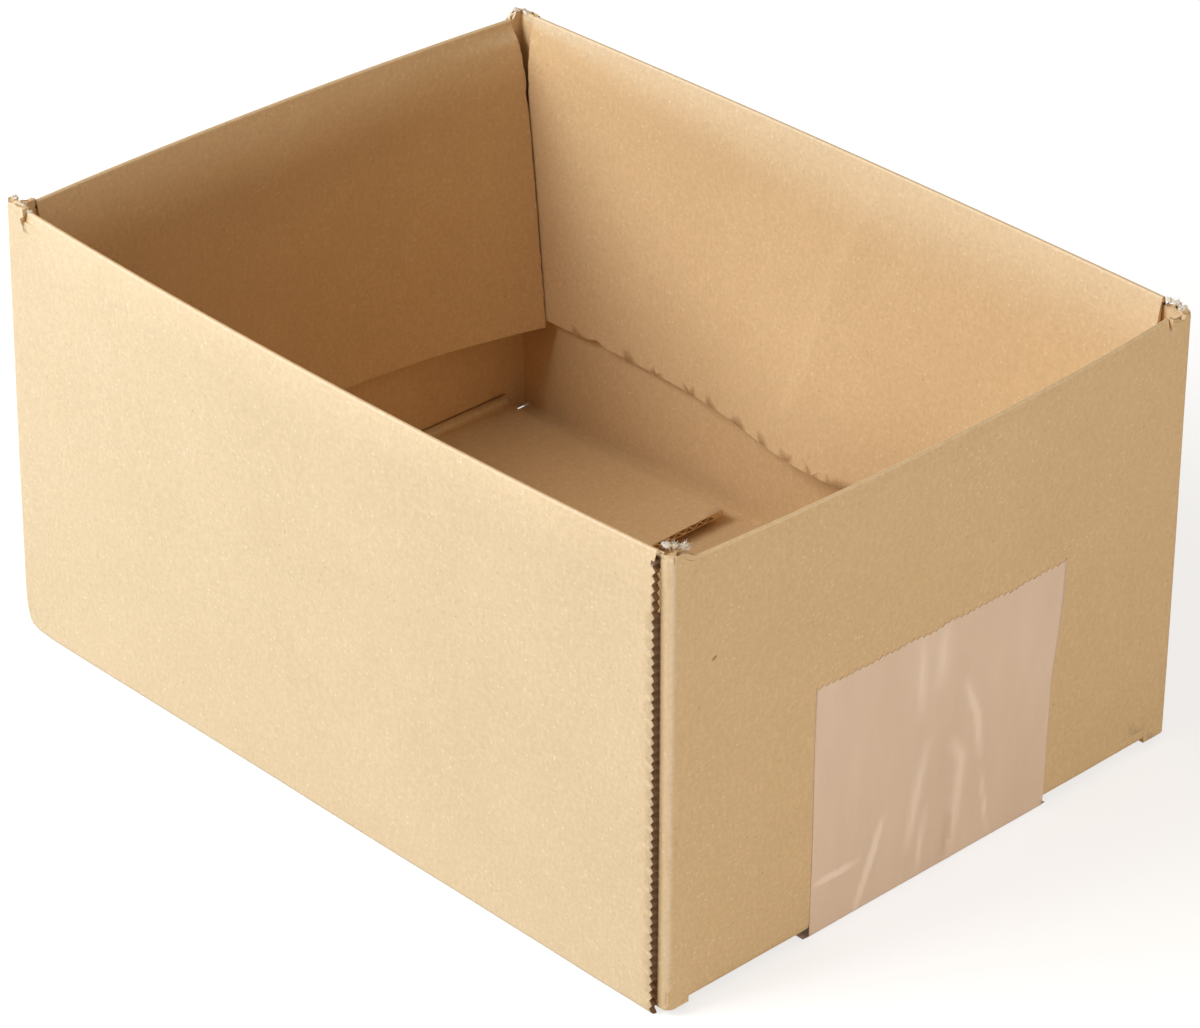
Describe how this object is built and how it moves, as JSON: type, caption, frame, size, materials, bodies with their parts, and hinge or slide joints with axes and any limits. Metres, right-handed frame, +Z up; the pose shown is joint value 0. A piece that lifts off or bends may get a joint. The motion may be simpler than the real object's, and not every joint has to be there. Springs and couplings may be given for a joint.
{
  "type": "open cardboard box",
  "caption": "Open slotted carton of thin corrugated board, with its top flaps folded down inside and its bottom taped shut.",
  "frame": {"origin": "centre of the box's outline, on the surface that it stands on", "axes": "+X along the box's length towards the end wall with the taller end of tape, +Y across its width, +Z up"},
  "size_m": [0.2122, 0.158, 0.1112],
  "materials": {
    "kraft_board": "matt brown kraft liner with fine fibres",
    "packing_tape": "clear frosted packing tape, slightly wrinkled"
  },
  "bodies": {
    "carton": {"carton_body": "kraft_board", "sealing_tape": "packing_tape"},
    "front_flap": {"top_flap_front": "kraft_board"},
    "back_flap": {"top_flap_back": "kraft_board"},
    "left_flap": {"top_flap_left": "kraft_board"},
    "right_flap": {"top_flap_right": "kraft_board"},
    "left_floor_flap": {"bottom_flap_left": "kraft_board"},
    "right_floor_flap": {"bottom_flap_right": "kraft_board"}
  },
  "joints": [
    {"name": "front_flap_fold", "type": "hinge", "parent": "carton", "child": "front_flap", "pos_m": [0, -0.0774, 0.10875], "axis": [1, 0, 0], "range_deg": [0, 270]},
    {"name": "back_flap_fold", "type": "hinge", "parent": "carton", "child": "back_flap", "pos_m": [0, 0.0774, 0.10875], "axis": [-1, 0, 0], "range_deg": [0, 270]},
    {"name": "left_flap_fold", "type": "hinge", "parent": "carton", "child": "left_flap", "pos_m": [-0.1044, 0, 0.10685], "axis": [0, -1, 0], "range_deg": [0, 270]},
    {"name": "right_flap_fold", "type": "hinge", "parent": "carton", "child": "right_flap", "pos_m": [0.1044, 0, 0.10685], "axis": [0, 1, 0], "range_deg": [0, 270]},
    {"name": "left_floor_flap_fold", "type": "hinge", "parent": "carton", "child": "left_floor_flap", "pos_m": [-0.1038, 0, 0.00387], "axis": [0, -1, 0], "range_deg": [0, 75]},
    {"name": "right_floor_flap_fold", "type": "hinge", "parent": "carton", "child": "right_floor_flap", "pos_m": [0.1038, 0, 0.00387], "axis": [0, 1, 0], "range_deg": [0, 75]}
  ]
}
